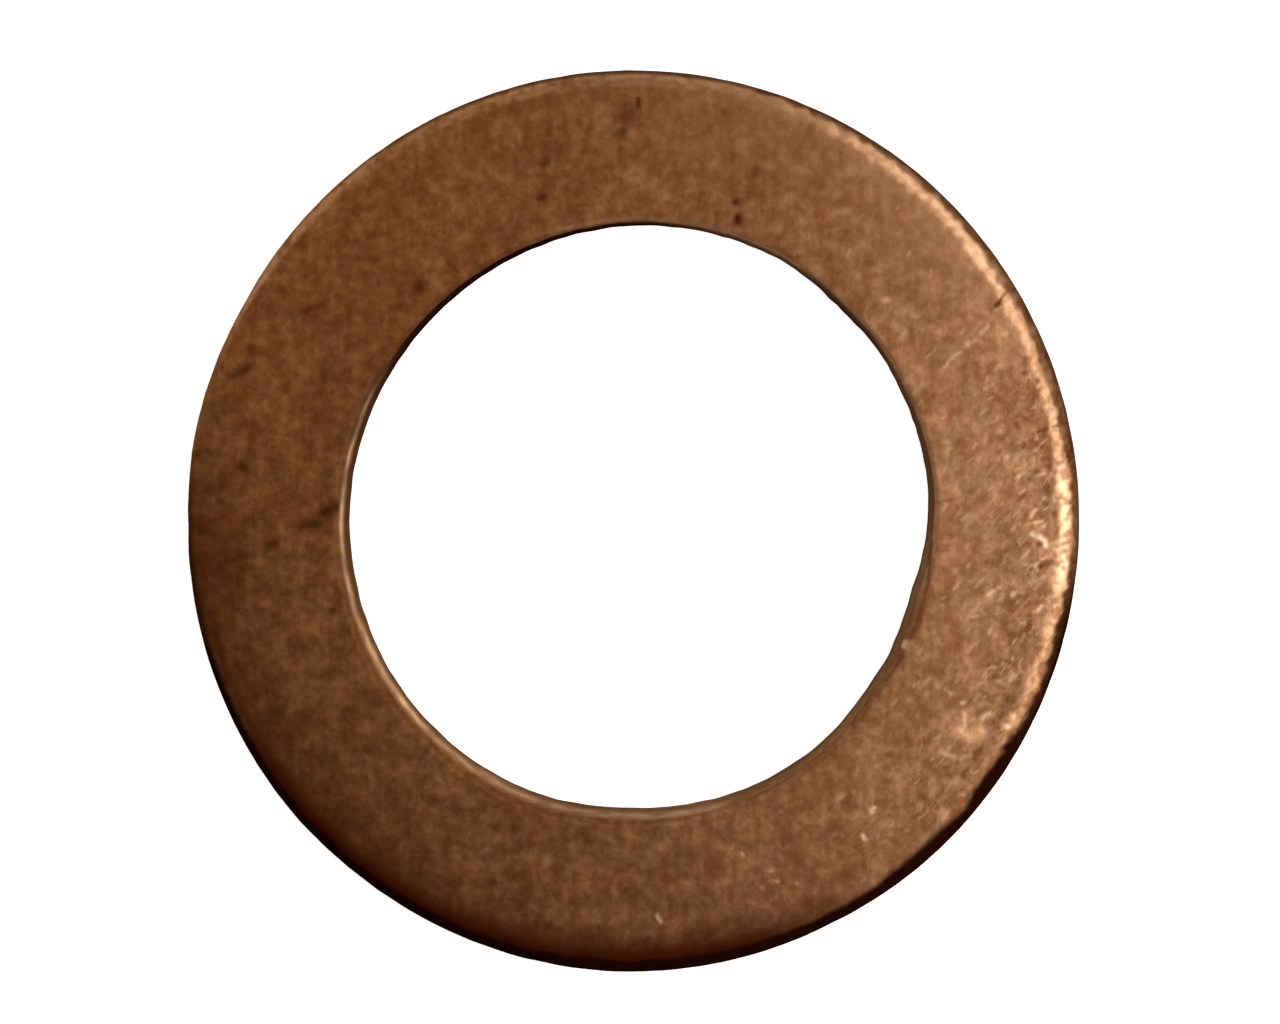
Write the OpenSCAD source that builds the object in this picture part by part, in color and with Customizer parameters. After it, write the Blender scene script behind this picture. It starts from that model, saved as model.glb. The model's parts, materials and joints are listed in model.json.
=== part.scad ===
// Copper crush washer: a flat solid ring, blanked from soft copper sheet, that seals under a bolt head.
// It lies flat: +Z is the bore's axis, and the origin is the bore's centre on the lower face.

/* [Ring] */
// Outside diameter
outer_d = 18; // [15:0.1:24]
// Diameter of the bore that the bolt passes through
bore_d = 12; // [6:0.1:14]
// Thickness between the two sealing faces
thickness = 1.5; // [1:0.1:3]

/* [Upper edges, rolled over as the ring was blanked] */
// Radius of the roll round the outside
outer_roll_r = 0.6; // [0.3:0.05:0.8]
// How far the outer roll reaches down the outside wall
outer_roll_h = 0.28; // [0.05:0.01:0.3]
// Radius of the roll round the bore's mouth
bore_roll_r = 0.12; // [0.1:0.01:0.5]
// How far the bore's roll reaches down the bore wall
bore_roll_h = 0.1; // [0.02:0.01:0.1]

/* [Lower edges, rounded by tumbling] */
// Radius of the broken edge round the outside
outer_break_r = 0.1; // [0.02:0.01:0.2]
// Radius of the broken edge round the bore
bore_break_r = 0.08; // [0.02:0.01:0.2]

/* [Hidden] */
$fn = 128;

// Oxidised copper
copper = [0.54, 0.35, 0.22];
outer_r = outer_d / 2;
bore_r = bore_d / 2;
// How far a corner's cut runs past the faces that it opens
cut_past = 0.1;

// What rounding takes off a sharp corner that lies at the origin, with its metal below and to the left.
// The arc leaves the upper face tangentially and meets the wall at depth h; h equal to r is a quarter round.
module corner_cut(r, h) {
    w = sqrt(2 * r * h - h * h);
    difference() {
        translate([-w, -h]) square([w + cut_past, h + cut_past]);
        translate([-w, -r]) circle(r = r);
    }
}

// Radial section of the ring: X is the distance from the axis, Y is the height
module ring_section() {
    difference() {
        translate([bore_r, 0]) square([outer_r - bore_r, thickness]);
        translate([outer_r, thickness]) corner_cut(outer_roll_r, outer_roll_h);
        translate([bore_r, thickness]) mirror([1, 0]) corner_cut(bore_roll_r, bore_roll_h);
        translate([outer_r, 0]) mirror([0, 1]) corner_cut(outer_break_r, outer_break_r);
        translate([bore_r, 0]) rotate(180) corner_cut(bore_break_r, bore_break_r);
    }
}

// The whole washer, one revolve of its section
module washer() {
    color(copper) rotate_extrude() ring_section();
}

washer();
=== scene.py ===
# Copper crush washer: an oxidised, handled copper ring that lies flat on a pale floor in soft light.
import json
import math
from types import SimpleNamespace

import bpy
import numpy as np
from mathutils import Matrix, Vector


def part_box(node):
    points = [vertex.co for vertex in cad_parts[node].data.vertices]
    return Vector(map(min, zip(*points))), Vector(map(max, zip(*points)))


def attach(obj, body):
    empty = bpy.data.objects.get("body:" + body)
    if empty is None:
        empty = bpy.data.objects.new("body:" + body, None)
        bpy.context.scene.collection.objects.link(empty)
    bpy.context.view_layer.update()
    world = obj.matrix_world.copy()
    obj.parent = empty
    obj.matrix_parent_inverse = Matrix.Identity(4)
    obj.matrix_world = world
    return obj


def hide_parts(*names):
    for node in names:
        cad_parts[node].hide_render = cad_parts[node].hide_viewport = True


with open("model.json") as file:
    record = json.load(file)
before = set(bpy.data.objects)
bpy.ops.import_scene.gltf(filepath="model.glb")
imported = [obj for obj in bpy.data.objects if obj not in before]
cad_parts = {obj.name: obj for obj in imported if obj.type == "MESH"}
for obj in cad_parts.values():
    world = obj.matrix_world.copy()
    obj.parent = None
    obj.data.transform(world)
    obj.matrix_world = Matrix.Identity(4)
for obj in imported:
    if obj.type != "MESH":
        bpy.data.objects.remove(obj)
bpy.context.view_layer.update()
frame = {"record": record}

# Sizes of the solid, in millimetres
MM = 0.001
low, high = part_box("washer")
OUTER_R = (high.x - low.x) / 2 / MM
THICKNESS = (high.z - low.z) / MM
BORE_R = next(m for m in frame["record"]["mounts"] if m["name"] == "bore")["dims"]["r_mm"]
OUTER_ROLL_R = 0.6
OUTER_ROLL_H = 0.28
BORE_ROLL_R = 0.12
BORE_ROLL_H = 0.1
OUTER_BREAK_R = 0.1
BORE_BREAK_R = 0.08

# Out of round by hundredths of a millimetre: the bore is a little off centre, closed in and oval
BORE_SHIFT = (0.085, 0.048)
BORE_CLOSED = 0.070
BORE_OVAL = 0.068
BORE_OVAL_AT = 58
OUTER_OVAL = 0.064
OUTER_OVAL_AT = 77
# How the two edges wander from that, outwards: degrees round the ring, and millimetres.
# The bore was bruised inwards on the right, just below the middle.
# Each fades across the ring, between two shares of the way from the bore to the outside.
BORE_WANDER = (
    (-180, 0.02), (-170, 0), (-150, 0.01), (-110, 0.03), (-92, -0.02), (-65, 0.06), (-50, 0.05),
    (-38, -0.03), (-28, -0.04), (-21, -0.08), (-14, -0.09), (-8, -0.04), (0, 0.02), (8, 0.05), (20, 0.02),
    (35, 0.01), (45, -0.04), (60, 0.03), (90, 0.03), (115, 0), (140, 0), (160, 0.02), (180, 0.02),
)
OUTER_WANDER = (
    (-180, -0.05), (-162, 0.01), (-140, 0.01), (-128, -0.02), (-90, 0), (-63, -0.03), (-48, 0), (-30, 0),
    (0, -0.02), (30, -0.02), (80, -0.03), (110, -0.01), (130, 0), (150, -0.05), (168, -0.01), (180, -0.05),
)
BORE_WANDERS_IN = (0, 0.15)
OUTER_WANDERS_IN = (0.75, 1)
# How much of the outer roll is missing on the left, and how the face falls away at the lower left: by how
# much at the first millimetre, from which radius, and how far
FLAT_ROLL = 0.65
FALL = 0.02
FALL_FROM = 6.9
FALL_REACH = 1.6
# The flat of the upper side ends at about this radius, where the rolled edge starts
FACE_ENDS = 8.3
# What leans by more than this, in degrees, isn't the upper side
STEEP = 80
# Below these heights, in millimetres, the outside and the bore are left plain
OUTER_FOOT = 0.2
BORE_FOOT = 0.02
# How far parts of the surface lean, in degrees: where each fades in and, for two of them, out again
LEANS = {
    "outer_roll": (3, 25, 55, 75),
    "outer_wall": (62, 80),
    "bore_edge": (4, 20, 45, 70),
    "dark_bore_edge": (12, 55),
    "bore_roll": (34, 72),
    "bore_wall": (35, 80),
    "covered_bore_wall": (5, 26),
}

# Mesh: steps round the ring, closest together on the worn side, and along each stretch of the section
STEPS_ROUND = 1150
CLOSER = 0.35
STEPS = {
    "bore_roll": 4,
    "face": 50,
    "outer_roll": 13,
    "outer_wall": 4,
    "outer_break": 2,
    "lower_face": 4,
    "bore_break": 2,
    "bore_wall": 7,
}

# Sectors of the ring, in degrees: where each starts and ends, and the margin over which it fades out
SECTORS = {
    # Shape
    "flat_roll": (148, 182, 20),
    "falling_face": (195, 270, 30),
    "battered_rim": (-40, 62, 30),
    "uneven_bore": (5, 65, 10),
    # Outer rim: a band rubbed bright with a painted highlight, and an edge of painted shade
    "polished_rim": (30, 75, 14),
    "blotched_rim": (-24, 14, 12),
    "ragged_edge": (-30, 65, 15),
    "wavy_edge": (-135, 65, 15),
    "lighter_edge": (0, 72, 14),
    "reddish_edge": (-22, 70, 8),
    "shaded_rim": (218, 284, 22),
    # Bore: painted shade and a painted highlight streak on the wall, painted light and red shade on the edge
    "lit_wall": (152, 284, 9),
    "light_top": (30, 152, 14),
    "covered_roll": (108, 275, 14),
    "dark_edge": (39, 53, 6),
    "painted_light_edge": (-8, 98, 14),
    "more_painted_light": (-10, 6, 14),
    "red_roll": (6, 92, 10),
    "redder_roll": (6, 52, 8),
    "red_wall": (2, 34, 10),
    # Face, with painted shade in one sector at the lower left
    "paler": (118, 160, 10),
    "shaded_face": (184, 240, 24),
    "tanner": (200, 290, 30),
    "flecked": (-38, 12, 18),
    "calm": (42, 75, 25),
    "lively": (-35, 26, 20),
}
# Patterns of unevenness: the size of their spots in millimetres, and a seed. Each is a sum of waves, whose
# lengths vary between two shares of twice that size.
PATTERNS = {
    "skin": (0.12, 1),
    "swell": (0.35, 2),
    "roll": (0.16, 3),
    "roll_swell": (0.5, 4),
    "wall": (0.3, 5),
    "scallop": (0.14, 6),
    "grain": (0.07, 7),
    "patch": (0.13, 8),
    "broad_patch": (0.35, 9),
    "broad_scallop": (0.3, 10),
    "blotch": (0.11, 12),
    "broad_blotch": (0.22, 13),
    "streak": (0.25, 14),
    "ragged": (0.16, 15),
    "wavy": (0.45, 16),
    "painted_dark_shade": (0.5, 17),
    "bore": (0.2, 18),
}
WAVES = 40
WAVE_LENGTHS = (0.7, 1.5)
# How high the unevenness stands, in millimetres
HEIGHTS = {
    "skin": 0.0008,
    "swell": 0.002,
    "roll": 0.002,
    "battered_roll": 0.006,
    "roll_swell": 0.006,
    "outer_wall": 0.0015,
    "bore_wall": 0.005,
    "bore": 0.006,
}

# The oxide goes from red-brown on the left to tan on the right, over this many millimetres: partly uneven
# oxide, and partly painted light, lighter on the side the light comes from. It follows a power, so most of
# the change is on the right.
TAN_SPAN = 15
TAN_POWER = 1.8
# Between which radii, in millimetres, blotches near the rim start and end, flecks start, and mottling grows
BLOTCHES_START = (7.5, 8.1)
BLOTCHES_END = (8.45, 8.6)
FLECKS_START = (6.6, 8.0)
LIVELY_FROM = (7.2, 8.0)
# Between which shares of the way from the bore to the outside the face gets calmer, and painted shade comes
# in
CALM_FROM = (0.2, 0.6)
SHADED_FACE_FROM = (0.45, 0.9)
# Between which levels of their patterns blotches, rubbed patches and breaks in the bore's streak come up
BLOTCH_LEVELS = (0, 2.2)
PATCH_LEVELS = (-1.8, 1.0)
BREAK_LEVELS = (-1.2, 0.6)
# How far the painted shade along the outline reaches in, and over what distance it fades: degrees,
# millimetres
SHADED_EDGE = (
    (-180, 0.04, 0.14), (-165, 0.05, 0.20), (-150, 0.14, 0.16), (-135, 0.18, 0.12), (-120, 0.21, 0.10),
    (-105, 0.23, 0.10), (-90, 0.26, 0.10), (-75, 0.24, 0.12), (-60, 0.21, 0.14), (-48, 0.25, 0.15),
    (-40, 0.20, 0.14), (-35, 0.28, 0.12), (-30, 0.21, 0.14), (-22, 0.14, 0.12), (-12, 0.18, 0.10),
    (-5, 0.13, 0.08), (2, 0.12, 0.08), (10, 0.18, 0.08), (20, 0.21, 0.08), (28, 0.16, 0.08),
    (34, 0.19, 0.08), (45, 0.11, 0.08), (65, 0.11, 0.08), (75, 0.05, 0.09), (90, 0.04, 0.10),
    (120, 0.03, 0.08), (140, 0.01, 0.08), (150, 0.0, 0.08), (170, 0.0, 0.08), (180, 0.04, 0.14),
)
# How far that painted shade is ragged and wavy, how wide it is where it is fully dark, where in it the
# reddish part starts, and how far the painted red shade reaches past it, in millimetres
EDGE_RAGGED = 0.026
EDGE_WAVY = 0.018
EDGE_FULL = 0.06
REDDISH_FROM = (0.05, 0.11)
SHADE_REACH = 0.8
# Below this height, in millimetres, the rubbed band and the painted shade are weakest on the outside wall.
# Its pattern of painted shade meets itself at this angle, in degrees.
FADES_BELOW = 0.45
WALL_SEAM = 160
# Where the rim is rubbed bright, with a painted highlight: degrees round the ring, the band's radius and half
# width in millimetres, and how strongly
RUBBED_BAND_AND_HIGHLIGHT = (
    (-48, 8.50, 0.10, 0), (-34, 8.52, 0.10, 0.1), (-28, 8.53, 0.11, 0.25), (-22, 8.60, 0.12, 0.25),
    (-16, 8.60, 0.13, 0.42), (-10, 8.62, 0.12, 0.45), (-5, 8.65, 0.13, 0.9), (0, 8.67, 0.12, 0.9),
    (6, 8.65, 0.13, 0.95), (9, 8.65, 0.11, 0.5), (14, 8.67, 0.12, 0.4), (18, 8.67, 0.12, 0.6),
    (21, 8.68, 0.12, 0.45), (30, 8.69, 0.13, 0.7), (38, 8.71, 0.12, 0.95), (47, 8.73, 0.12, 1.0),
    (60, 8.75, 0.11, 0.75), (70, 8.80, 0.10, 0.5), (75, 8.82, 0.10, 0.5), (90, 8.78, 0.12, 0.6),
    (105, 8.82, 0.11, 0.65), (120, 8.84, 0.10, 0.3), (135, 8.89, 0.09, 0.55), (150, 8.94, 0.04, 0.55),
    (160, 8.94, 0.04, 0),
)
# How much a soft edge widens that band, how far it wanders, and the painted glow inside it: strength and
# reach
BAND_SOFT = 1.3
BAND_WANDER = 0.06
GLOW = 0.25
GLOW_REACH = 0.3
# How dark the painted shade on the bore's wall is: degrees round the ring, and share
SHADED_WALL = (
    (-180, 0.72), (-172, 0.70), (-158, 0.62), (-100, 0.62), (-72, 0.45), (-45, 0.40), (-20, 0.5),
    (-5, 0.48), (2, 0.50), (12, 0.60), (30, 0.66), (46, 0.92), (60, 0.72), (76, 0.8), (88, 0.95),
    (110, 1.0), (140, 0.97), (152, 0.88), (166, 0.8), (180, 0.72),
)
# Heights on that wall, in millimetres: its top, where the painted shade is lighter in one sector, where it
# gets lighter on the rubbed side, and its foot, darker with painted shade, with the height over which that
# fades in
WALL_TOP = (1.28, 1.48)
LIT_ABOVE = (0.7, 1.0)
WALL_FOOT = 0.6
WALL_FOOT_FADES = 0.4
# Where the wall is rubbed and has a painted highlight: degrees, the streak's height in millimetres, and
# strength
GLINT = (
    (146, 1.40, 0.15), (152, 1.40, 0.2), (155, 1.35, 0.55), (162, 1.28, 0.48), (167, 1.25, 0.85),
    (171, 1.20, 0.5), (175, 1.20, 0.68), (179, 1.20, 0.9), (185, 1.20, 0.7), (188, 1.15, 0.48),
    (193, 1.10, 0.82), (198, 1.00, 0.58), (207, 0.82, 0.95), (214, 0.82, 0.68), (218, 0.75, 1.0),
    (226, 0.82, 0.65), (240, 0.75, 0.68), (258, 0.80, 0.52), (284, 1.00, 0.6), (295, 1.00, 0.48),
)
# How far the streak spreads up and down, and the heights between which it ends below the roll
STREAK_SPREAD = 0.23
STREAK_ENDS = (1.38, 1.46)

# Marks on the upper side, in millimetres from the bore's axis: strength, width, then the stroke's points.
# Light ones are nicks and scratches down to bare copper, freshly cut where the strength is over 1. The last
# few, along the rim and the bore's edge, are partly painted highlights.
LIGHT_MARKS = [
    # Crescent nick and the strokes round it
    (2.2, 0.08, (7.97, -0.12), (8.10, -0.17), (8.20, -0.26), (8.24, -0.37)),
    (0.9, 0.06, (7.94, 0.22), (7.97, 0.30), (8.02, 0.36)),
    (0.9, 0.06, (8.00, 0.10), (8.15, 0.12)),
    (0.6, 0.12, (8.18, 0.04)),
    (0.6, 0.06, (8.10, 0.50), (8.20, 0.60)),
    (0.5, 0.05, (7.72, 0.68), (7.80, 0.75)),
    (0.7, 0.05, (7.75, -0.62), (7.90, -0.45)),
    (0.6, 0.06, (7.83, -0.73)),
    (0.7, 0.06, (8.15, -0.63), (8.25, -0.58)),
    (0.7, 0.05, (8.05, -0.85), (8.02, -0.75), (8.08, -0.70)),
    (0.7, 0.06, (8.05, -1.05), (8.20, -0.97)),
    (0.6, 0.05, (6.43, -1.22), (6.53, -1.08)),
    (0.5, 0.05, (6.85, -1.18), (6.98, -1.03)),
    (0.9, 0.06, (7.10, -1.35), (7.22, -1.25)),
    (0.5, 0.05, (7.28, -1.20), (7.35, -1.20)),
    (0.8, 0.07, (7.58, -1.33)),
    (0.9, 0.07, (8.08, -1.65), (8.17, -1.55)),
    (0.5, 0.08, (8.30, -1.60)),
    (0.5, 0.08, (8.35, -1.80)),
    (0.5, 0.06, (7.03, -1.72)),
    (0.8, 0.06, (7.13, -2.10), (7.15, -2.03)),
    (0.3, 0.06, (6.70, -1.75), (6.95, -1.50)),
    (0.5, 0.10, (6.10, 0.60)),
    # Upper right
    (0.6, 0.04, (7.20, 4.30), (7.33, 4.35)),
    (0.65, 0.07, (6.92, 3.82), (7.05, 3.98)),
    (0.8, 0.11, (6.67, 3.62)),
    (0.45, 0.06, (6.67, 3.62), (6.82, 3.70)),
    (0.5, 0.06, (6.50, 3.46), (6.42, 3.42), (6.30, 3.30)),
    (0.5, 0.05, (6.18, 3.15), (6.25, 3.20), (6.28, 3.28)),
    (0.5, 0.06, (7.97, 1.23), (7.97, 1.37)),
    (0.5, 0.07, (8.02, 1.75)),
    (0.4, 0.07, (7.68, 1.68)),
    (0.5, 0.06, (8.05, 1.05), (8.20, 1.07)),
    (0.5, 0.05, (6.78, 1.57), (6.83, 1.65)),
    (0.4, 0.07, (6.47, 1.18)),
    (0.35, 0.08, (6.65, 1.00)),
    (0.35, 0.10, (6.27, 1.70)),
    (0.35, 0.10, (7.30, 1.90)),
    (0.7, 0.09, (5.10, 4.50), (5.02, 4.48)),
    (0.3, 0.10, (4.08, 6.23), (4.30, 6.26)),
    # Lower right, with the forked ding
    (0.5, 0.07, (7.24, -2.78)),
    (0.9, 0.08, (7.55, -3.02), (7.60, -2.93)),
    (0.5, 0.07, (7.07, -3.08)),
    (0.5, 0.07, (7.33, -3.05)),
    (0.6, 0.08, (6.38, -3.30)),
    (0.45, 0.09, (6.10, -3.15)),
    (0.9, 0.06, (6.60, -3.50), (6.66, -3.48)),
    (0.5, 0.06, (6.85, -3.45), (6.95, -3.32)),
    (1.25, 0.09, (6.67, -3.70), (6.69, -3.95), (6.62, -4.05)),
    (1.25, 0.09, (7.15, -3.70), (7.02, -3.80), (6.98, -3.98)),
    (1.0, 0.26, (6.64, -4.02), (6.78, -4.14), (7.00, -4.08)),
    (1.3, 0.17, (7.05, -4.04)),
    (1.3, 0.11, (7.50, -3.95)),
    (0.9, 0.12, (7.62, -3.75)),
    (0.5, 0.10, (7.93, -2.75), (7.92, -3.10)),
    (0.6, 0.08, (6.23, -4.48), (6.45, -4.58)),
    (0.5, 0.07, (6.65, -4.42)),
    (0.5, 0.07, (6.60, -4.60)),
    # Bottom
    (1.7, 0.07, (4.83, -5.69), (4.87, -5.61)),
    (2.0, 0.07, (4.70, -6.24), (4.66, -6.16)),
    (0.7, 0.07, (4.12, -5.46), (4.26, -5.34)),
    (1.2, 0.06, (2.27, -6.60), (2.24, -6.54)),
    (1.1, 0.06, (2.80, -6.90), (2.86, -6.86)),
    (1.1, 0.07, (2.95, -7.10)),
    (1.0, 0.07, (3.35, -7.15)),
    (0.4, 0.07, (1.72, -7.15)),
    (0.4, 0.07, (2.65, -7.25)),
    (0.35, 0.08, (3.00, -5.70)),
    (0.35, 0.08, (3.80, -5.85)),
    (2.0, 0.07, (0.61, -7.95), (0.55, -7.83)),
    (0.4, 0.08, (4.57, -4.50)),
    (0.35, 0.08, (-0.55, -6.22), (-0.42, -6.28)),
    (0.4, 0.12, (-1.18, -6.58), (-1.14, -6.50)),
    (0.4, 0.12, (-1.72, -6.80), (-1.68, -6.70)),
    (0.45, 0.10, (-2.72, -6.33), (-2.68, -6.27)),
    (0.5, 0.07, (-3.00, -6.57), (-2.86, -6.50)),
    # Left
    (0.4, 0.08, (-4.02, -4.63), (-3.98, -4.55)),
    (0.5, 0.07, (-3.88, -5.04), (-3.80, -5.12)),
    (0.3, 0.06, (-5.22, -5.02), (-5.16, -5.24)),
    (0.25, 0.10, (-1.25, 7.10)),
    (0.25, 0.10, (0.75, 6.55)),
    # Along the rim and the bore's edge: painted highlights on the rolled edges, partly rubbed bright
    (0.9, 0.09, (5.48, -2.28), (5.44, -2.36)),
    (0.4, 0.05, (1.10, -5.75), (1.50, -5.65), (2.50, -5.35), (3.50, -4.80)),
    (0.45, 0.08, (-7.20, 5.05), (-7.60, 4.55), (-7.90, 4.00)),
    (0.3, 0.15, (-0.75, 8.72)),
    (0.3, 0.15, (1.90, 8.62)),
]
# Dark ones are pits and spots of dirt and old oxide.
DARK_MARKS = [
    # Right
    (0.8, 0.12, (8.08, -0.33)),
    (0.6, 0.15, (7.88, -0.33)),
    (0.9, 0.09, (8.12, -0.77)),
    (0.45, 0.22, (8.20, 0.77)),
    (0.30, 0.32, (7.40, 0.03)),
    (0.30, 0.40, (7.36, -0.64), (7.62, -0.48)),
    (0.30, 0.26, (7.69, -2.11)),
    (0.30, 0.25, (7.62, -3.15)),
    (0.60, 0.17, (7.48, -3.45), (7.35, -3.73)),
    (0.35, 0.08, (7.35, -3.73), (7.16, -4.07), (6.90, -4.55), (6.60, -5.00)),
    (0.6, 0.07, (7.95, -0.82)),
    (0.5, 0.09, (7.55, -1.20)),
    (0.5, 0.09, (7.90, -1.75)),
    (0.5, 0.09, (8.10, 0.30)),
    (0.9, 0.04, (7.43, 4.64), (7.32, 4.56), (7.27, 4.45)),
    (0.9, 0.09, (7.26, 4.44), (7.20, 4.38)),
    (0.7, 0.08, (8.03, 2.90)),
    (0.5, 0.06, (7.85, 2.92)),
    (0.7, 0.08, (7.75, 3.05)),
    (0.6, 0.06, (8.35, 2.00), (8.45, 2.02)),
    (0.6, 0.06, (8.05, 1.90), (8.20, 1.95)),
    (0.6, 0.10, (8.15, 1.35)),
    (0.4, 0.10, (4.30, -5.50)),
    # Top
    (1.0, 0.17, (2.12, 6.04), (2.12, 6.12)),
    (1.0, 0.17, (2.08, 6.42)),
    (0.6, 0.15, (2.43, 6.94), (2.47, 7.06)),
    (0.8, 0.20, (-0.15, 7.80)),
    (0.9, 0.09, (0.15, 8.28), (0.15, 8.42)),
    (0.6, 0.07, (-0.95, 8.38)),
    (0.5, 0.12, (1.85, 8.18)),
    (0.5, 0.10, (1.55, 7.90)),
    (0.4, 0.10, (-0.90, 7.40)),
    (0.5, 0.45, (-0.05, 8.10)),
    (0.4, 0.10, (2.45, 7.85)),
    (0.4, 0.10, (2.00, 7.35)),
    (0.5, 0.08, (1.70, 6.20)),
    (0.5, 0.08, (2.60, 6.25)),
    (0.4, 0.09, (-0.70, 6.70)),
    (0.4, 0.09, (0.30, 6.10)),
    (0.65, 0.14, (-1.72, 7.16), (-1.64, 7.24)),
    (0.75, 0.14, (-1.80, 6.49), (-1.70, 6.55)),
    (0.35, 0.12, (-1.40, 7.50)),
    (0.35, 0.12, (-4.70, 6.55)),
    # Left
    (0.7, 0.16, (-7.95, 3.00), (-7.60, 3.15)),
    (0.4, 0.20, (-7.60, 3.50)),
    (0.4, 0.20, (-6.75, 4.20)),
    (0.45, 0.10, (-6.60, 4.25), (-6.10, 4.40)),
    (0.8, 0.22, (-4.20, 4.75), (-4.16, 4.84)),
    (0.4, 0.12, (-4.00, 5.05)),
    (0.85, 0.21, (-7.75, 1.18)),
    (0.85, 0.21, (-6.14, 0.26), (-5.90, 0.38)),
    (0.75, 0.22, (-6.52, 0.00), (-6.28, 0.06)),
    (0.55, 0.18, (-7.25, -0.40), (-7.10, -0.34)),
    (0.55, 0.18, (-7.95, -0.70), (-7.75, -0.60)),
    (0.9, 0.14, (-5.97, -1.70)),
    (0.35, 0.12, (-4.88, -3.81)),
    (0.5, 0.14, (-2.66, -5.98), (-2.70, -6.06)),
    # Beside the bruise in the bore
    (0.7, 0.07, (5.96, -0.30), (5.93, -0.90), (5.85, -1.40), (5.74, -1.80), (5.58, -2.20)),
    (0.5, 0.06, (5.40, -2.60), (5.10, -3.05)),
]
# Where the forked ding is, and how far its redder copper reaches
DING_AT = (6.85, -3.98)
DING_REACH = 0.35
# Scattered small scratches: how many, round which angle, how widely in degrees, and how strong
FLECKS = ((170, -12, 26, 0.45), (50, 25, 22, 0.15), (70, -75, 30, 0.3))
FLECK_SEED = 11
# How they lean, in degrees, and between what they vary: radius, half length and width in millimetres, share
FLECK_LEAN = 52
FLECK_LEAN_SPREAD = 18
FLECK_RADII = (BORE_R + 0.2, OUTER_R - 0.3)
FLECK_HALVES = (0.02, 0.08)
FLECK_WIDTHS = (0.04, 0.07)
FLECK_SHARES = (0.3, 1.0)
# How deep marks are, in millimetres. A mark's width is taken at half its depth, and round it stands a low
# burr: its height as a share of the depth, and its place in spreads from the middle.
LIGHT_DEPTH = 0.005
DARK_DEPTH = 0.008
SPREADS_IN_WIDTH = 2.355
BURR = 0.25
BURR_AT = 2.2


def arc(centre, radius, start, end, steps):
    """Points of a circular arc in the section, from one angle to another, in degrees."""
    turn = np.radians(np.linspace(start, end, steps + 1))
    return np.stack([centre[0] + radius * np.cos(turn), centre[1] + radius * np.sin(turn)], 1)


def straight(start, end, steps):
    """Points of a straight stretch of the section."""
    share = np.linspace(0, 1, steps + 1)[:, None]
    return np.array(start) * (1 - share) + np.array(end) * share


def section():
    """The ring's radial section, one closed run of (radius, height), and the way out at each point."""
    outer_w = math.sqrt(2 * OUTER_ROLL_R * OUTER_ROLL_H - OUTER_ROLL_H**2)
    outer_end = math.degrees(math.asin((OUTER_ROLL_R - OUTER_ROLL_H) / OUTER_ROLL_R))
    bore_w = math.sqrt(2 * BORE_ROLL_R * BORE_ROLL_H - BORE_ROLL_H**2)
    bore_end = 180 - math.degrees(math.asin((BORE_ROLL_R - BORE_ROLL_H) / BORE_ROLL_R))
    face_in = BORE_R + bore_w
    face_out = OUTER_R - outer_w
    outer_low = OUTER_R - OUTER_BREAK_R
    bore_low = BORE_R + BORE_BREAK_R
    outer_top = THICKNESS - OUTER_ROLL_H
    bore_top = THICKNESS - BORE_ROLL_H
    bore_centre = (face_in, THICKNESS - BORE_ROLL_R)
    outer_centre = (face_out, THICKNESS - OUTER_ROLL_R)
    runs = [
        arc(bore_centre, BORE_ROLL_R, bore_end, 90, STEPS["bore_roll"]),
        straight((face_in, THICKNESS), (face_out, THICKNESS), STEPS["face"]),
        arc(outer_centre, OUTER_ROLL_R, 90, outer_end, STEPS["outer_roll"]),
        straight((OUTER_R, outer_top), (OUTER_R, OUTER_BREAK_R), STEPS["outer_wall"]),
        arc((outer_low, OUTER_BREAK_R), OUTER_BREAK_R, 0, -90, STEPS["outer_break"]),
        straight((outer_low, 0), (bore_low, 0), STEPS["lower_face"]),
        arc((bore_low, BORE_BREAK_R), BORE_BREAK_R, 270, 180, STEPS["bore_break"]),
        straight((BORE_R, BORE_BREAK_R), (BORE_R, bore_top), STEPS["bore_wall"]),
    ]
    points = np.concatenate([run[:-1] for run in runs])
    along = np.roll(points, -1, 0) - points
    along /= np.linalg.norm(along, axis=1)[:, None]
    along = along + np.roll(along, 1, 0)
    outward = np.stack([-along[:, 1], along[:, 0]], 1)
    return points, outward / np.linalg.norm(outward, axis=1)[:, None]


def smooth(value, start, end):
    """Rises smoothly from 0 at start to 1 at end."""
    share = np.clip((value - start) / (end - start), 0, 1)
    return share * share * (3 - 2 * share)


def bell(off, spread):
    """1 in the middle, falling off to both sides."""
    return np.exp(-0.5 * (off / spread) ** 2)


def sector(at, name):
    """1 within a sector of the ring, falling to 0 over its margin on each side."""
    start, end, margin = SECTORS[name]
    half = (end - start) / 2
    off = np.abs((at.turn - (start + half) + 180) % 360 - 180)
    return 1 - smooth(off, half, half + margin)


def leaning(at, name):
    """1 where the surface leans as the named part of it does, falling to 0 elsewhere."""
    starts, full, *fades = LEANS[name]
    share = smooth(at.tilt, starts, full)
    return share * (1 - smooth(at.tilt, *fades)) if fades else share


def read_table(turn, rows):
    """The columns of a table that starts with degrees, each one interpolated at every angle."""
    angles, *columns = np.array(rows).T
    return [np.interp(turn, angles, column) for column in columns]


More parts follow.
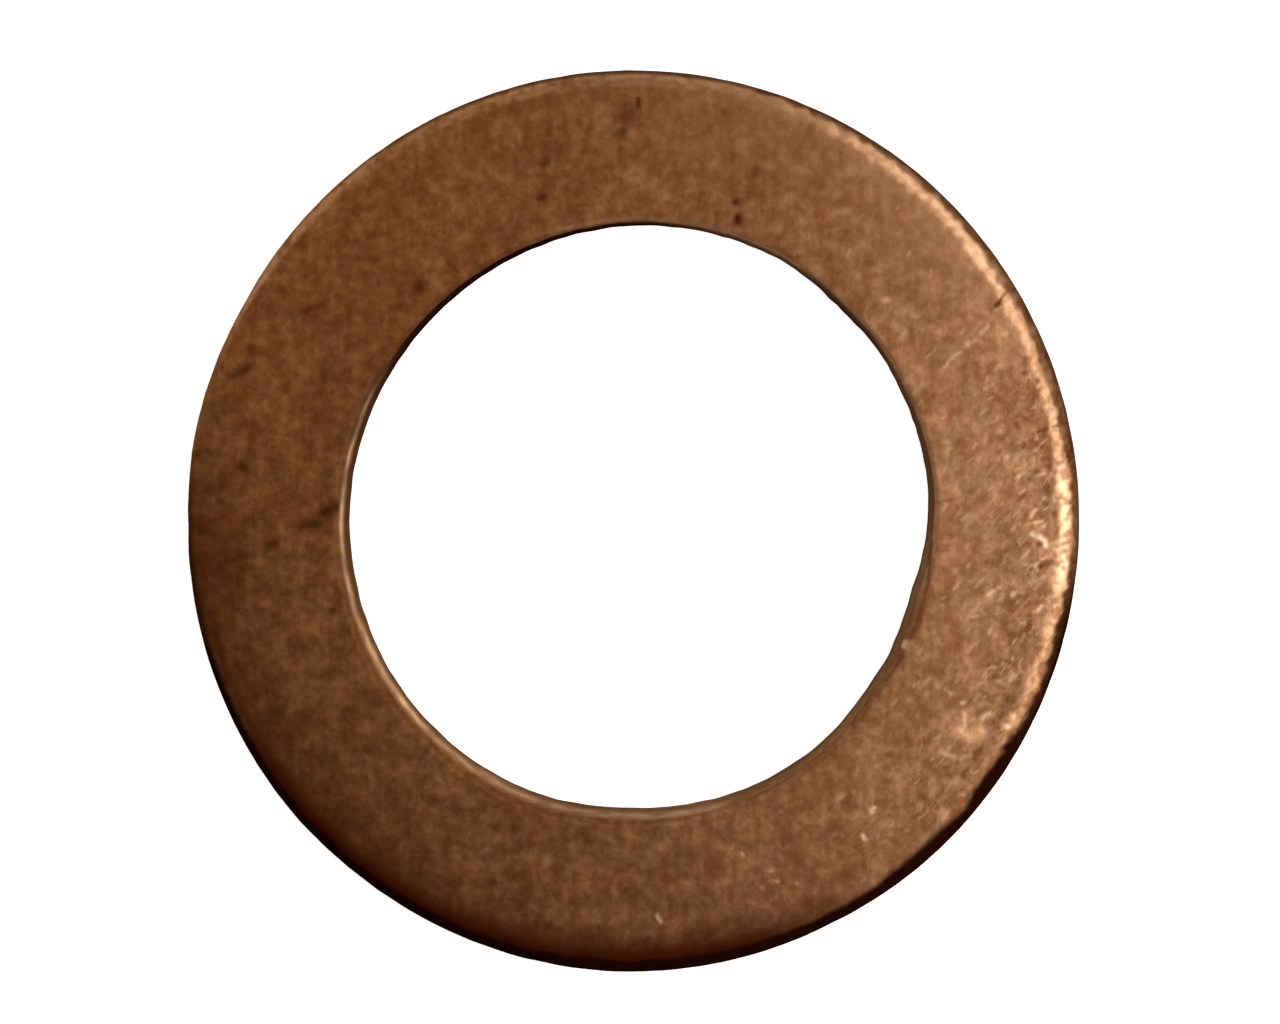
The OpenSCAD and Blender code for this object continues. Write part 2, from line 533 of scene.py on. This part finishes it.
def uneven(places, name):
    """A pattern of smooth unevenness with no direction, mostly from -1 to 1."""
    size, seed = PATTERNS[name]
    rng = np.random.default_rng(seed)
    turns = rng.uniform(0, 2 * math.pi, WAVES)
    lengths = 2 * size * rng.uniform(*WAVE_LENGTHS, WAVES)
    phases = rng.uniform(0, 2 * math.pi, WAVES)
    total = np.zeros(len(places))
    for turn, length, phase in zip(turns, lengths, phases):
        along = places @ np.array([math.cos(turn), math.sin(turn)])
        total += np.cos(2 * math.pi * along / length + phase)
    return total / math.sqrt(WAVES)


def distance(places, path):
    """Distance of each place from a path of straight strokes. A path of one point is a spot."""
    path = np.array(path)
    best = np.full(len(places), np.inf)
    for start, end in zip(path, path[1:] if len(path) > 1 else path):
        along = end - start
        share = np.clip((places - start) @ along / max(along @ along, 1e-9), 0, 1)
        best = np.minimum(best, np.linalg.norm(places - start - share[:, None] * along, axis=1))
    return best


def flecks():
    """Scattered small scratches, most of them leaning up to the right, as rows like the marks'."""
    rng = np.random.default_rng(FLECK_SEED)
    rows = []
    for count, at, spread, strength in FLECKS:
        for _ in range(count):
            turn = math.radians(rng.normal(at, spread))
            radius = rng.uniform(*FLECK_RADII)
            lean = math.radians(rng.normal(FLECK_LEAN, FLECK_LEAN_SPREAD))
            half = rng.uniform(*FLECK_HALVES)
            x, y = radius * math.cos(turn), radius * math.sin(turn)
            dx, dy = half * math.cos(lean), half * math.sin(lean)
            width = rng.uniform(*FLECK_WIDTHS)
            share = rng.uniform(*FLECK_SHARES)
            rows.append((strength * share, width, (x - dx, y - dy), (x + dx, y + dy)))
    return rows


def cut_marks(places, marks, depth):
    """How far a set of marks sinks the surface at each place, and how strongly each place is marked."""
    sunk = np.zeros(len(places))
    marked = np.zeros(len(places))
    for strength, width, *path in marks:
        reach = 2 * width
        box_low, box_high = np.min(path, 0) - reach, np.max(path, 0) + reach
        near = np.all((places > box_low) & (places < box_high), axis=1)
        off = distance(places[near], path) / (width / SPREADS_IN_WIDTH)
        groove = bell(off, 1)
        sunk[near] += min(strength, 1) ** 2 * depth * (groove - BURR * bell(off - BURR_AT, 1))
        marked[near] = np.maximum(marked[near], strength * groove)
    return sunk, marked


def lattice():
    """The section's points at each step round the ring, the way each one faces, and what it belongs to."""
    points, outward = section()
    even = np.linspace(0, 2 * math.pi, STEPS_ROUND, endpoint=False)
    at = SimpleNamespace(across=len(points))
    at.angle = np.repeat(even - CLOSER * np.sin(even), at.across)
    at.turn = np.degrees(at.angle)
    at.signed = (at.turn + 180) % 360 - 180
    at.radius, at.height = np.tile(points, (STEPS_ROUND, 1)).T
    at.out_r, at.out_z = np.tile(outward, (STEPS_ROUND, 1)).T
    at.tilt = np.degrees(np.arctan2(np.abs(at.out_r), at.out_z))
    at.part = (at.radius - BORE_R) / (OUTER_R - BORE_R)
    at.from_edge = OUTER_R - at.radius
    at.upper = at.tilt < STEEP
    at.on_outer = (at.out_r > 0) & (at.height > OUTER_FOOT)
    at.outer_half = (at.part > 0.5) & (at.height > OUTER_FOOT)
    at.on_bore = (at.out_r < -0.05) & (at.height > BORE_FOOT)
    return at


def settle(at):
    """Puts each point in its place, out of round, with the flatter roll and the face that falls away."""
    oval_in = BORE_OVAL * np.cos(2 * np.radians(at.turn - BORE_OVAL_AT))
    oval_out = OUTER_OVAL * np.cos(2 * np.radians(at.turn - OUTER_OVAL_AT))
    [bore_wander] = read_table(at.signed, BORE_WANDER)
    [outer_wander] = read_table(at.signed, OUTER_WANDER)
    plan_r = at.radius + (1 - at.part) * (oval_in - BORE_CLOSED) + at.part * oval_out
    plan_r += bore_wander * (1 - smooth(at.part, *BORE_WANDERS_IN))
    plan_r += outer_wander * smooth(at.part, *OUTER_WANDERS_IN)
    at.round_to = np.stack([np.cos(at.angle), np.sin(at.angle)], 1)
    at.places = plan_r[:, None] * at.round_to + np.outer(1 - at.part, BORE_SHIFT)

    rolled = (at.tilt > 0.5) & at.upper & at.on_outer
    at.height = at.height + FLAT_ROLL * rolled * sector(at, "flat_roll") * (THICKNESS - at.height)
    beyond = np.clip(at.radius - FALL_FROM, 0, FALL_REACH)
    at.height = at.height - FALL * sector(at, "falling_face") * at.upper * beyond**2


def relief(at, sunk):
    """How far each point stands out of the true surface: soft unevenness, without what the marks sink."""
    roll = leaning(at, "outer_roll") * at.on_outer
    roll_h = HEIGHTS["roll"] + HEIGHTS["battered_roll"] * sector(at, "battered_rim")
    wall_h = HEIGHTS["outer_wall"] * at.on_outer + HEIGHTS["bore_wall"] * at.on_bore
    out = HEIGHTS["skin"] * uneven(at.places, "skin") + HEIGHTS["swell"] * uneven(at.places, "swell")
    out += roll * roll_h * uneven(at.places, "roll")
    out += roll * HEIGHTS["roll_swell"] * uneven(at.places, "roll_swell")
    out += wall_h * uneven(at.places, "wall")
    out += HEIGHTS["bore"] * at.on_bore * sector(at, "uneven_bore") * uneven(at.places, "bore")
    out -= at.upper * sunk
    underside = at.out_z < -0.5
    out[underside] = np.minimum(out[underside], 0)
    return out


def rim_wear_and_painted_light(at):
    """The outer rim: a band worn bright with a painted highlight, painted dark and red shade, and a reddish
    part of its edge.
    """
    # Rubbed bright in a band that is also a painted highlight, scalloped where the rim is battered, and with
    # a painted glow where it is polished
    polished = sector(at, "polished_rim")
    band_at, band_half, strength = read_table(at.signed, RUBBED_BAND_AND_HIGHLIGHT)
    scallop = 0.6 * uneven(at.places, "scallop") + 0.5 * uneven(at.places, "broad_scallop")
    middle = band_at + BAND_WANDER * scallop * sector(at, "battered_rim")
    off_band = (at.radius - middle) / (BAND_SOFT * band_half)
    below_roll = 1 - smooth(at.height, FADES_BELOW, THICKNESS - OUTER_ROLL_H)
    band = np.exp(-off_band**4) * (at.radius > FACE_ENDS) * (1 - 0.85 * below_roll)
    glow = GLOW * bell(at.radius - middle, GLOW_REACH) * (at.radius < middle) * polished
    grain = (1 - 0.7 * polished) * uneven(at.places, "grain")
    patchy = smooth(grain + uneven(at.places, "patch") + uneven(at.places, "broad_patch"), *PATCH_LEVELS)
    patchy = patchy + 0.5 * polished * (0.65 - patchy)
    rubbed_and_highlit = np.maximum(band, glow) * strength * (0.25 + 0.75 * patchy)

    # Painted shade along the outline, lighter at the right, and fading out down the outside wall
    edge_width, edge_soft = read_table(at.signed, SHADED_EDGE)
    wander = EDGE_RAGGED * uneven(at.places, "ragged") * sector(at, "ragged_edge")
    wander += EDGE_WAVY * uneven(at.places, "wavy") * sector(at, "wavy_edge")
    dark_to = np.maximum(edge_width + wander, 0)
    edged = (1 - smooth(at.from_edge, dark_to, dark_to + edge_soft)) * np.clip(dark_to / EDGE_FULL, 0, 1)
    reddish = sector(at, "reddish_edge") * smooth(at.from_edge, *REDDISH_FROM) * edged
    lighter = sector(at, "lighter_edge") * (0.2 + 0.25 * reddish + 0.5 * leaning(at, "outer_wall"))
    edged = edged * (1 - lighter - 0.08 * reddish)
    shaded = (1 - smooth(at.from_edge, dark_to, dark_to + SHADE_REACH)) * sector(at, "shaded_rim")
    outer_wall = np.stack([OUTER_R * np.radians((at.turn - WALL_SEAM) % 360), at.height], 1)
    less_shade = (0.62 + 0.12 * uneven(outer_wall, "painted_dark_shade")) * below_roll
    # Painted dark shade along the outline and over the shaded rim, weaker down the outside wall
    painted_dark_shade = np.maximum(edged, 0.45 * shaded * at.upper) * at.outer_half * (1 - less_shade)
    # Painted red shade on the shaded rim, and on the face at the lower left
    lower_left_shade = 0.45 * smooth(at.part, *SHADED_FACE_FROM) * sector(at, "shaded_face")
    shade = np.maximum(0.95 * shaded * at.outer_half, lower_left_shade) * at.upper
    return rubbed_and_highlit, painted_dark_shade, shade, reddish


def bore_wear_and_painted_light(at):
    """The bore: worn bright with a painted highlight and painted light, and given painted dark and red shade.
    """
    # Painted shade on the wall, with a broken streak on the left of rubbed copper and painted highlight
    [shaded_wall] = read_table(at.signed, SHADED_WALL)
    streak_at, streak_by = read_table(at.turn, GLINT)
    bore_wall = np.stack([BORE_R * at.angle, 0.7 * at.height], 1)
    glint = streak_by * (0.7 + 0.3 * smooth(uneven(bore_wall, "streak"), *BREAK_LEVELS))
    streak = bell(at.height - streak_at, STREAK_SPREAD) * (1 - 0.65 * smooth(at.height, *STREAK_ENDS))
    lit = shaded_wall - 0.2 * smooth(at.height, *LIT_ABOVE)
    lit = lit + (1 - glint - lit) * streak
    unlit_shade = shaded_wall * (1 - 0.6 * smooth(at.height, *WALL_TOP) * sector(at, "light_top"))
    unlit_shade = np.clip(unlit_shade + 0.2 * smooth(WALL_FOOT - at.height, 0, WALL_FOOT_FADES), 0, 1)
    lit_wall = sector(at, "lit_wall")
    covered = sector(at, "covered_roll")
    bare_and_covered = zip(LEANS["bore_wall"], LEANS["covered_bore_wall"])
    starts, full = (bare + (other - bare) * covered for bare, other in bare_and_covered)
    on_wall = smooth(at.tilt, starts, full) * at.on_bore
    wall_dark_shade = on_wall * (lit_wall * lit + (1 - lit_wall) * unlit_shade)
    # A painted highlight on rubbed copper, along the streak
    wall_rub_and_highlight = (0.35 + 0.6 * glint) * lit_wall * on_wall * streak
    red_wall = 0.6 * at.on_bore * ~at.upper * sector(at, "red_wall")

    # On the right, the edge gets painted light as rubbed copper and painted red shade, and is darker in one
    # place
    edge_darker = 0.65 * leaning(at, "dark_bore_edge") * at.on_bore * sector(at, "dark_edge")
    edge_painted_light = leaning(at, "bore_edge") * at.on_bore * sector(at, "painted_light_edge")
    edge_painted_light = (0.22 + 0.1 * sector(at, "more_painted_light")) * edge_painted_light
    red_roll = leaning(at, "bore_roll") * at.on_bore * at.upper * sector(at, "red_roll")
    red_roll = (0.35 + 0.25 * sector(at, "redder_roll")) * red_roll
    pairs = ((wall_rub_and_highlight, edge_painted_light), (wall_dark_shade, edge_darker), (red_wall, red_roll))
    return [np.maximum(wall, edge) for wall, edge in pairs]


def wear_and_painted_light(at, light, dark):
    """What the material reads at each point, by name: shares from 0 to 1, and how strong the mottling is."""
    rim_rub_and_highlight, rim_dark_shade, rim_shade, reddish = rim_wear_and_painted_light(at)
    bore_rub_and_highlight, bore_dark_shade, bore_shade = bore_wear_and_painted_light(at)
    # Tan towards the right: partly uneven oxide, partly painted light on the side the light comes from
    tan = np.clip(at.places[:, 0] / TAN_SPAN + 0.5, 0, 1) ** TAN_POWER
    patina_and_painted_light = np.clip(tan + 0.12 * (1 - at.part) * sector(at, "tanner"), 0, 1) * (1 - reddish)
    pale = np.maximum(1.15 * tan + 0.4 * sector(at, "paler"), np.maximum(light, at.on_bore))
    red_ding = 0.7 * bell(distance(at.places, [DING_AT]), DING_REACH)
    # Rubbed copper, nicks, and the painted highlights and painted light of the rim and the bore
    rubbed_and_highlit = np.maximum(np.maximum(light * at.upper, rim_rub_and_highlight), bore_rub_and_highlight)
    blotch = uneven(at.places, "blotch") + 0.8 * uneven(at.places, "broad_blotch")
    near_rim = smooth(at.radius, *BLOTCHES_START) * (1 - smooth(at.radius, *BLOTCHES_END))
    blotch = 0.5 * smooth(blotch, *BLOTCH_LEVELS) * near_rim * sector(at, "blotched_rim")
    flecked = 0.05 + 0.4 * sector(at, "flecked") * smooth(at.radius, *FLECKS_START)
    calm = 0.35 * sector(at, "calm") * smooth(at.part, *CALM_FROM)
    lively = 0.25 * sector(at, "lively") * smooth(at.radius, *LIVELY_FROM)
    # The rubbing holds painted highlights, the red and dark shade is painted shade, and the tan is partly
    # painted light
    return {
        "patina_and_painted_light": patina_and_painted_light,
        "pale": np.clip(pale, 0, 1) * (1 - red_ding),
        "rub_and_highlight": np.clip(rubbed_and_highlit, 0, 1),
        "fresh": np.clip(light - 1, 0, 1) * at.upper,
        "stain": np.maximum(dark, blotch) * at.upper,
        "shade": np.maximum(rim_shade, bore_shade),
        "painted_dark_shade": np.maximum(rim_dark_shade, bore_dark_shade),
        "flecked": flecked * at.upper,
        "mottled": 1 - calm + lively,
    }


def ring_mesh():
    """Lathe of the section, uneven and marked, as one closed mesh of quads, and its worn spots, painted light
    and painted shade.
    """
    at = lattice()
    settle(at)
    light_sunk, light = cut_marks(at.places, LIGHT_MARKS + flecks(), LIGHT_DEPTH)
    dark_sunk, dark = cut_marks(at.places, DARK_MARKS, DARK_DEPTH)
    out = relief(at, light_sunk + dark_sunk)
    plan = at.places + (out * at.out_r)[:, None] * at.round_to
    verts = np.column_stack([plan, at.height + out * at.out_z])
    i, j = np.meshgrid(np.arange(STEPS_ROUND), np.arange(at.across), indexing="ij")
    i2, j2 = (i + 1) % STEPS_ROUND, (j + 1) % at.across
    corners = [i * at.across + j, i2 * at.across + j, i2 * at.across + j2, i * at.across + j2]
    return verts, np.stack(corners, -1).reshape(-1, 4), wear_and_painted_light(at, light, dark)


def add_ring():
    verts, faces, shares = ring_mesh()
    mesh = bpy.data.meshes.new("copper_ring")
    mesh.from_pydata((verts * MM).tolist(), [], faces.tolist())
    mesh.polygons.foreach_set("use_smooth", [True] * len(faces))
    for name, values in shares.items():
        mesh.attributes.new(name, "FLOAT", "POINT").data.foreach_set("value", values)
    mesh.update()
    ring = bpy.data.objects.new("copper_ring", mesh)
    bpy.context.scene.collection.objects.link(ring)
    return ring


# Copper's colours, linear: tan and red-brown oxide, whose spread is partly painted light, metal that is bare,
# worn or freshly cut, old spots, and the painted red shade and painted dark shade
TAN = (0.342, 0.1545, 0.0645, 1)
RED_BROWN = (0.26, 0.090, 0.0245, 1)
BARE = (0.74, 0.45, 0.26, 1)
WORN = (0.60, 0.29, 0.125, 1)
FRESH = (0.90, 0.62, 0.42, 1)
SPOT = (0.075, 0.011, 0.0008, 1)
RED_SHADE = (0.10, 0.008, 0.0008, 1)
DARK_SHADE = (0.017, 0.003, 0.001, 1)
# Tints of the oxide: its two hues, and what mottling does to it at its darkest and its lightest
HUES = ((1.05, 0.98, 0.96), (0.97, 1.02, 0.99))
DARKEST = (0.52, 0.345, 0.16)
LIGHTEST = (1.48, 1.75, 2.15)
# Tint of the copper's shine at a low angle
LOW_SHINE = (1, 0.78, 0.52, 1)
# Noise in the copper: scale per millimetre, detail, and how bent it is
NOISES = {
    "broad": (0.42, 2, 0.25),
    "mottle": (2.4, 4, 0.25),
    "dapple": (5.5, 3, 0.25),
    "fine": (14, 2, 0.25),
    "hue": (1.7, 3, 0.25),
    "hair": (1.0, 3, 0.25),
    "fleck": (1.0, 1, 0.8),
}
NOISE_ROUGHNESS = 0.52
# Most of the noise lies between these levels
NOISE_LEVELS = (0.25, 0.75)
# How the noise lies: all of it askew, hairs drawn along the sheet, and flecks long and leaning
ASKEW = (0.79, 0.62, 0.4)
DRAWN = (0.1, 0.1, 0.15)
DRAWN_SCALE = (6, 0.8, 6)
FLECK_SIZE = (0.26, 0.09, 0.26)
# What each noise adds to the mottling, how much more light than dark it has, and its middle
TONE = {"mottle": 1.2, "dapple": 1.1, "fine": 0.2, "hair": 0.55, "broad": 0.4}
TONE_LIFT = 0.7
TONE_MIDDLE = 0.485
# Between which levels of the fleck noise a fleck comes up, and how strong dark flecks and stains are
LIGHT_FLECK = (0.60, 0.72)
DARK_FLECK = (0.40, 0.28)
DARK_FLECK_SHARE = 0.6
STAIN_SHARE = 0.95
# How fine noise weakens and strengthens the rubbing and its painted highlight
RUB_SHARES = (0.7, 1.1)
# Roughness, from the smoothest to the roughest mottling, and what stains, painted dark shade and rubbing add
# to it
ROUGHNESS = (0.58, 0.68)
STAIN_ROUGHER = 0.1
DARK_SHADE_ROUGHER = 0.25
RUB_ROUGHER = -0.15
# Grain too fine for the mesh: its strength, its height in millimetres, and the hairs' share
BUMP = 0.5
BUMP_H = 0.006
BUMP_HAIR = 0.6


def add_node(tree, kind, inputs=None, **settings):
    """Adds a shader node. Each input is a plain value, or an output of another node."""
    made = tree.nodes.new("ShaderNode" + kind)
    for name, value in settings.items():
        setattr(made, name, value)
    for key, value in (inputs or {}).items():
        if isinstance(value, bpy.types.NodeSocket):
            tree.links.new(value, made.inputs[key])
        else:
            made.inputs[key].default_value = value
    return made


def copper_material():
    material = bpy.data.materials.new("oxidised_copper")
    material.use_nodes = True
    tree = material.node_tree
    shader = tree.nodes["Principled BSDF"]

    def share(name):
        return add_node(tree, "Attribute", attribute_name=name).outputs["Fac"]

    def rise(value, levels, to=(0, 1)):
        ends = {"From Min": levels[0], "From Max": levels[1], "To Min": to[0], "To Max": to[1]}
        return add_node(tree, "MapRange", {"Value": value, **ends}).outputs["Result"]

    def spread(noise, to=(0, 1)):
        return rise(noise, NOISE_LEVELS, to)

    def times(a, b):
        return add_node(tree, "Math", {0: a, 1: b}, operation="MULTIPLY").outputs[0]

    def plus(a, b):
        return add_node(tree, "Math", {0: a, 1: b}, operation="ADD").outputs[0]

    def mix(by, a, b):
        return add_node(tree, "Mix", {0: by, 6: a, 7: b}, data_type="RGBA").outputs[2]

    def tinted(colour, tint):
        return add_node(tree, "VectorMath", {0: colour, 1: tint}, operation="MULTIPLY").outputs[0]

    spot = add_node(tree, "TexCoord").outputs["Object"]
    mm = add_node(tree, "VectorMath", {0: spot, "Scale": 1 / MM}, operation="SCALE").outputs[0]
    askew = add_node(tree, "Mapping", {"Vector": mm, "Rotation": ASKEW}).outputs[0]
    drawn = add_node(tree, "Mapping", {"Vector": mm, "Rotation": DRAWN, "Scale": DRAWN_SCALE}).outputs[0]
    lean = {"Vector": mm, "Rotation": (0, 0, math.radians(FLECK_LEAN)), "Scale": FLECK_SIZE}
    leaning = add_node(tree, "Mapping", lean, vector_type="TEXTURE").outputs[0]
    lies = {"hair": drawn, "fleck": leaning}
    noise = {}
    for name, (scale, detail, bent) in NOISES.items():
        inputs = {"Vector": lies.get(name, askew), "Scale": scale, "Detail": detail, "Distortion": bent}
        inputs["Roughness"] = NOISE_ROUGHNESS
        noise[name] = add_node(tree, "TexNoise", inputs).outputs["Fac"]

    # Colour: mottled oxide, then flecks, rubbed metal with painted highlights, freshly cut metal, stains, and
    # painted red and dark shade over it
    rub_and_highlight = share("rub_and_highlight")
    stain = share("stain")
    painted_dark_shade = share("painted_dark_shade")
    flecked = share("flecked")
    # Red-brown to tan oxide, whose spread to the right is partly painted light
    oxide = mix(share("patina_and_painted_light"), RED_BROWN, TAN)
    oxide = mix(spread(noise["hue"]), tinted(oxide, HUES[0]), tinted(oxide, HUES[1]))
    tone = -0.5 * sum(TONE.values())
    for name, weight in TONE.items():
        tone = plus(times(noise[name], weight), tone)
    tone = times(tone, share("mottled"))
    tone = plus(plus(tone, times(times(tone, tone), TONE_LIFT)), TONE_MIDDLE)
    colour = mix(tone, tinted(oxide, DARKEST), tinted(oxide, LIGHTEST))
    light_fleck = times(rise(noise["fleck"], LIGHT_FLECK), flecked)
    dark_fleck = times(rise(noise["fleck"], DARK_FLECK), times(flecked, DARK_FLECK_SHARE))
    colour = mix(light_fleck, colour, BARE)
    colour = mix(dark_fleck, colour, SPOT)
    # Rubbed copper, with painted highlights
    colour = mix(times(rub_and_highlight, spread(noise["fine"], RUB_SHARES)), colour, mix(share("pale"), WORN, BARE))
    colour = mix(share("fresh"), colour, FRESH)
    colour = mix(times(stain, STAIN_SHARE), colour, SPOT)
    # Painted red shade
    colour = mix(share("shade"), colour, RED_SHADE)
    # Painted dark shade
    colour = mix(painted_dark_shade, colour, DARK_SHADE)
    tree.links.new(colour, shader.inputs["Base Color"])

    # Finish: metal with no second gloss where painted dark shade covers it, rougher in the stains and
    # smoother where rubbed
    shader.inputs["Specular IOR Level"].default_value = 0
    shader.inputs["Specular Tint"].default_value = LOW_SHINE
    tree.links.new(plus(times(painted_dark_shade, -1), 1), shader.inputs["Metallic"])
    rough = plus(spread(noise["mottle"], ROUGHNESS), times(stain, STAIN_ROUGHER))
    rough = plus(plus(rough, times(painted_dark_shade, DARK_SHADE_ROUGHER)), times(rub_and_highlight, RUB_ROUGHER))
    tree.links.new(rough, shader.inputs["Roughness"])
    grain = plus(plus(noise["fine"], noise["dapple"]), times(noise["hair"], BUMP_HAIR))
    bump = add_node(tree, "Bump", {"Strength": BUMP, "Distance": BUMP_H * MM, "Height": grain})
    tree.links.new(bump.outputs[0], shader.inputs["Normal"])
    return material


# Floor, in millimetres: flat under the ring, and turned up into a low rim far out, to fill every view
FLOOR_Z = -0.02
FLOOR_FLAT_R = 110
FLOOR_RIM_R = 220
FLOOR_RIM_H = 45
FLOOR_STEPS_ROUND = 96
FLOOR_STEPS_OUT = 12
FLOOR_COLOUR = (0.8, 0.8, 0.8, 1)
FLOOR_SEEN = 0.85


def floor_material():
    """Pale and matt. Seen directly or in the metal, it is nearly white, and keeps the ring's shadow."""
    material = bpy.data.materials.new("pale_floor")
    material.use_nodes = True
    tree = material.node_tree
    tree.nodes.clear()

    def combine(operation, a, b):
        return add_node(tree, "Math", {0: a, 1: b}, operation=operation).outputs[0]

    path = add_node(tree, "LightPath").outputs
    seen = combine("MAXIMUM", path["Is Camera Ray"], path["Is Glossy Ray"])
    seen = combine("MAXIMUM", seen, path["Is Transmission Ray"])
    matt = add_node(tree, "BsdfDiffuse", {"Color": FLOOR_COLOUR}).outputs[0]
    glow = add_node(tree, "Emission", {"Strength": combine("MULTIPLY", seen, FLOOR_SEEN)}).outputs[0]
    both = add_node(tree, "AddShader", {0: matt, 1: glow}).outputs[0]
    add_node(tree, "OutputMaterial", {"Surface": both})
    return material


def add_floor():
    share = np.linspace(0, 1, FLOOR_STEPS_OUT + 1)
    radii = FLOOR_FLAT_R + (FLOOR_RIM_R - FLOOR_FLAT_R) * share
    heights = FLOOR_Z + FLOOR_RIM_H * share**2
    turn = np.linspace(0, 2 * math.pi, FLOOR_STEPS_ROUND, endpoint=False)
    circle = np.stack([np.cos(turn), np.sin(turn), np.zeros_like(turn)], 1)
    verts = np.concatenate([r * circle + (0, 0, z) for r, z in zip(radii, heights)])
    faces = [list(range(FLOOR_STEPS_ROUND))]
    for out in range(FLOOR_STEPS_OUT):
        for k in range(FLOOR_STEPS_ROUND):
            k2 = (k + 1) % FLOOR_STEPS_ROUND
            a, b = out * FLOOR_STEPS_ROUND, (out + 1) * FLOOR_STEPS_ROUND
            faces.append([a + k, b + k, b + k2, a + k2])
    mesh = bpy.data.meshes.new("floor")
    mesh.from_pydata((verts * MM).tolist(), [], faces)
    mesh.materials.append(floor_material())
    floor = bpy.data.objects.new("floor", mesh)
    bpy.context.scene.collection.objects.link(floor)


# Soft round lamps that all point at the middle: name, place and diameter in millimetres, and power in watts
LAMPS = (
    ("key", (30, -2, 30), 32, 0.0155),
    ("rim", (19, 23, 17), 16, 0.0021),
    ("fill", (-24, 22, 36), 40, 0.0063),
    ("front", (-4, -32, 36), 40, 0.0007),
)
WORLD_COLOUR = (0.035, 0.035, 0.035, 1)


def add_light():
    world = bpy.data.worlds.new("studio")
    world.use_nodes = True
    world.node_tree.nodes["Background"].inputs["Color"].default_value = WORLD_COLOUR
    bpy.context.scene.world = world
    for name, at, size, power in LAMPS:
        lamp = bpy.data.lights.new(name, "AREA")
        lamp.shape = "DISK"
        lamp.size = size * MM
        lamp.energy = power
        holder = bpy.data.objects.new(name, lamp)
        holder.location = Vector(at) * MM
        holder.rotation_euler = (-Vector(at)).to_track_quat("-Z", "Y").to_euler()
        holder.visible_camera = False
        bpy.context.scene.collection.objects.link(holder)


# Camera, in millimetres in the part's own frame, and how near and how far it sees
CAMERA_AT = Vector((2.0, 3.2, 50.0))
CAMERA_AIM = Vector((0.192, 0.293, THICKNESS))
CAMERA_LENS = 68.77
CAMERA_SENSOR = 36
CAMERA_NEAR = 1
CAMERA_FAR = 2000


def add_camera():
    camera = bpy.data.cameras.new("camera")
    camera.sensor_width = CAMERA_SENSOR
    camera.lens = CAMERA_LENS
    camera.clip_start = CAMERA_NEAR * MM
    camera.clip_end = CAMERA_FAR * MM
    forward = (CAMERA_AIM - CAMERA_AT).normalized()
    right = forward.cross(Vector((0, 1, 0))).normalized()
    up = right.cross(forward)
    turn = Matrix((right, up, -forward)).transposed().to_4x4()
    holder = bpy.data.objects.new("camera", camera)
    holder.matrix_world = Matrix.Translation(CAMERA_AT * MM) @ turn
    bpy.context.scene.collection.objects.link(holder)
    bpy.context.scene.camera = holder


bpy.context.scene.view_settings.view_transform = "Standard"
add_camera()
add_light()
add_floor()
ring = add_ring()
ring.data.materials.append(copper_material())
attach(ring, "root")
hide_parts("washer")
